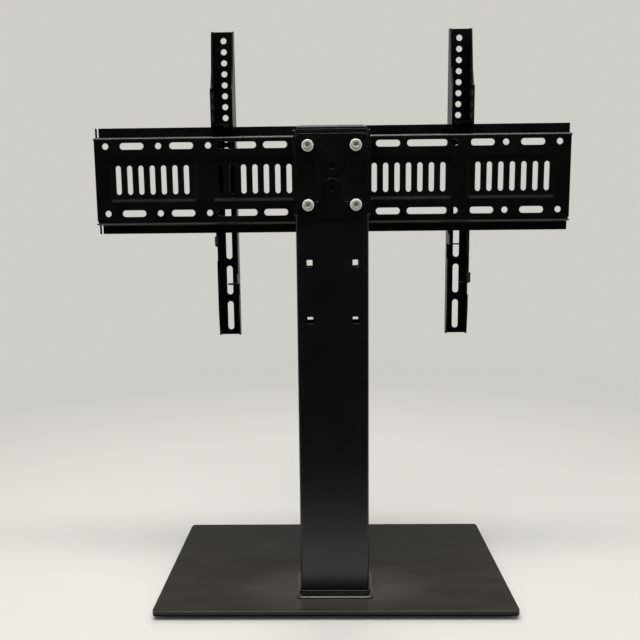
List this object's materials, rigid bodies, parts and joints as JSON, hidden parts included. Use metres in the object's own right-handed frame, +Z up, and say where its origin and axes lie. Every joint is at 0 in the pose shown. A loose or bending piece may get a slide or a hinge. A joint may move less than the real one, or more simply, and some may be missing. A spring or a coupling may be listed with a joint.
{
  "type": "television stand with mount",
  "caption": "Table stand for a flat television: glass foot, rectangular steel column, pressed wall plate clamped near its top, and slotted arms that slide along the plate.",
  "frame": {"origin": "centre of the glass foot's footprint, on the surface that the rubber feet stand on", "axes": "+Z up along the column, +Y towards the television, +X along the wall plate, to the right when seen from behind"},
  "size_m": [0.6926, 0.28, 0.8365],
  "materials": {
    "black_glass": "black toughened glass, polished",
    "rubber": "moulded, matt",
    "black_steel": "fine black powder coat",
    "column_steel": "smooth semi-matt black powder coat",
    "moulded_plastic": "fine moulded texture",
    "zinc": "bright zinc plate"
  },
  "bodies": {
    "stand": {"glass_base": "black_glass", "rubber_foot_rear_left": "rubber", "rubber_foot_front_left": "rubber", "rubber_foot_rear_right": "rubber", "rubber_foot_front_right": "rubber", "column_foot_plate": "black_steel", "underside_plate": "black_steel", "base_screw_front_left": "zinc", "base_screw_front_right": "zinc", "base_screw_rear_left": "zinc", "base_screw_rear_right": "zinc", "column": "column_steel", "column_cap": "moulded_plastic", "foot_collar": "moulded_plastic", "clamp_plate": "black_steel", "saddle_bracket": "black_steel", "wall_plate": "black_steel", "bolt_upper_left": "zinc", "bolt_upper_right": "zinc", "bolt_lower_left": "zinc", "bolt_lower_right": "zinc", "rear_washer_upper_left": "zinc", "rear_washer_upper_right": "zinc", "rear_washer_lower_left": "zinc", "rear_washer_lower_right": "zinc", "front_washer_upper_left": "zinc", "front_washer_upper_right": "zinc", "front_washer_lower_left": "zinc", "front_washer_lower_right": "zinc", "nut_upper_left": "zinc", "nut_upper_right": "zinc", "nut_lower_left": "zinc", "nut_lower_right": "zinc"},
    "left_arm": {"arm_left": "black_steel"},
    "right_arm": {"arm_right": "black_steel"}
  },
  "joints": [
    {"name": "left_arm_slide", "type": "slide", "parent": "stand", "child": "left_arm", "axis": [1, 0, 0], "range_m": [-0.163, 0.131]},
    {"name": "right_arm_slide", "type": "slide", "parent": "stand", "child": "right_arm", "axis": [1, 0, 0], "range_m": [-0.162, 0.132]}
  ]
}
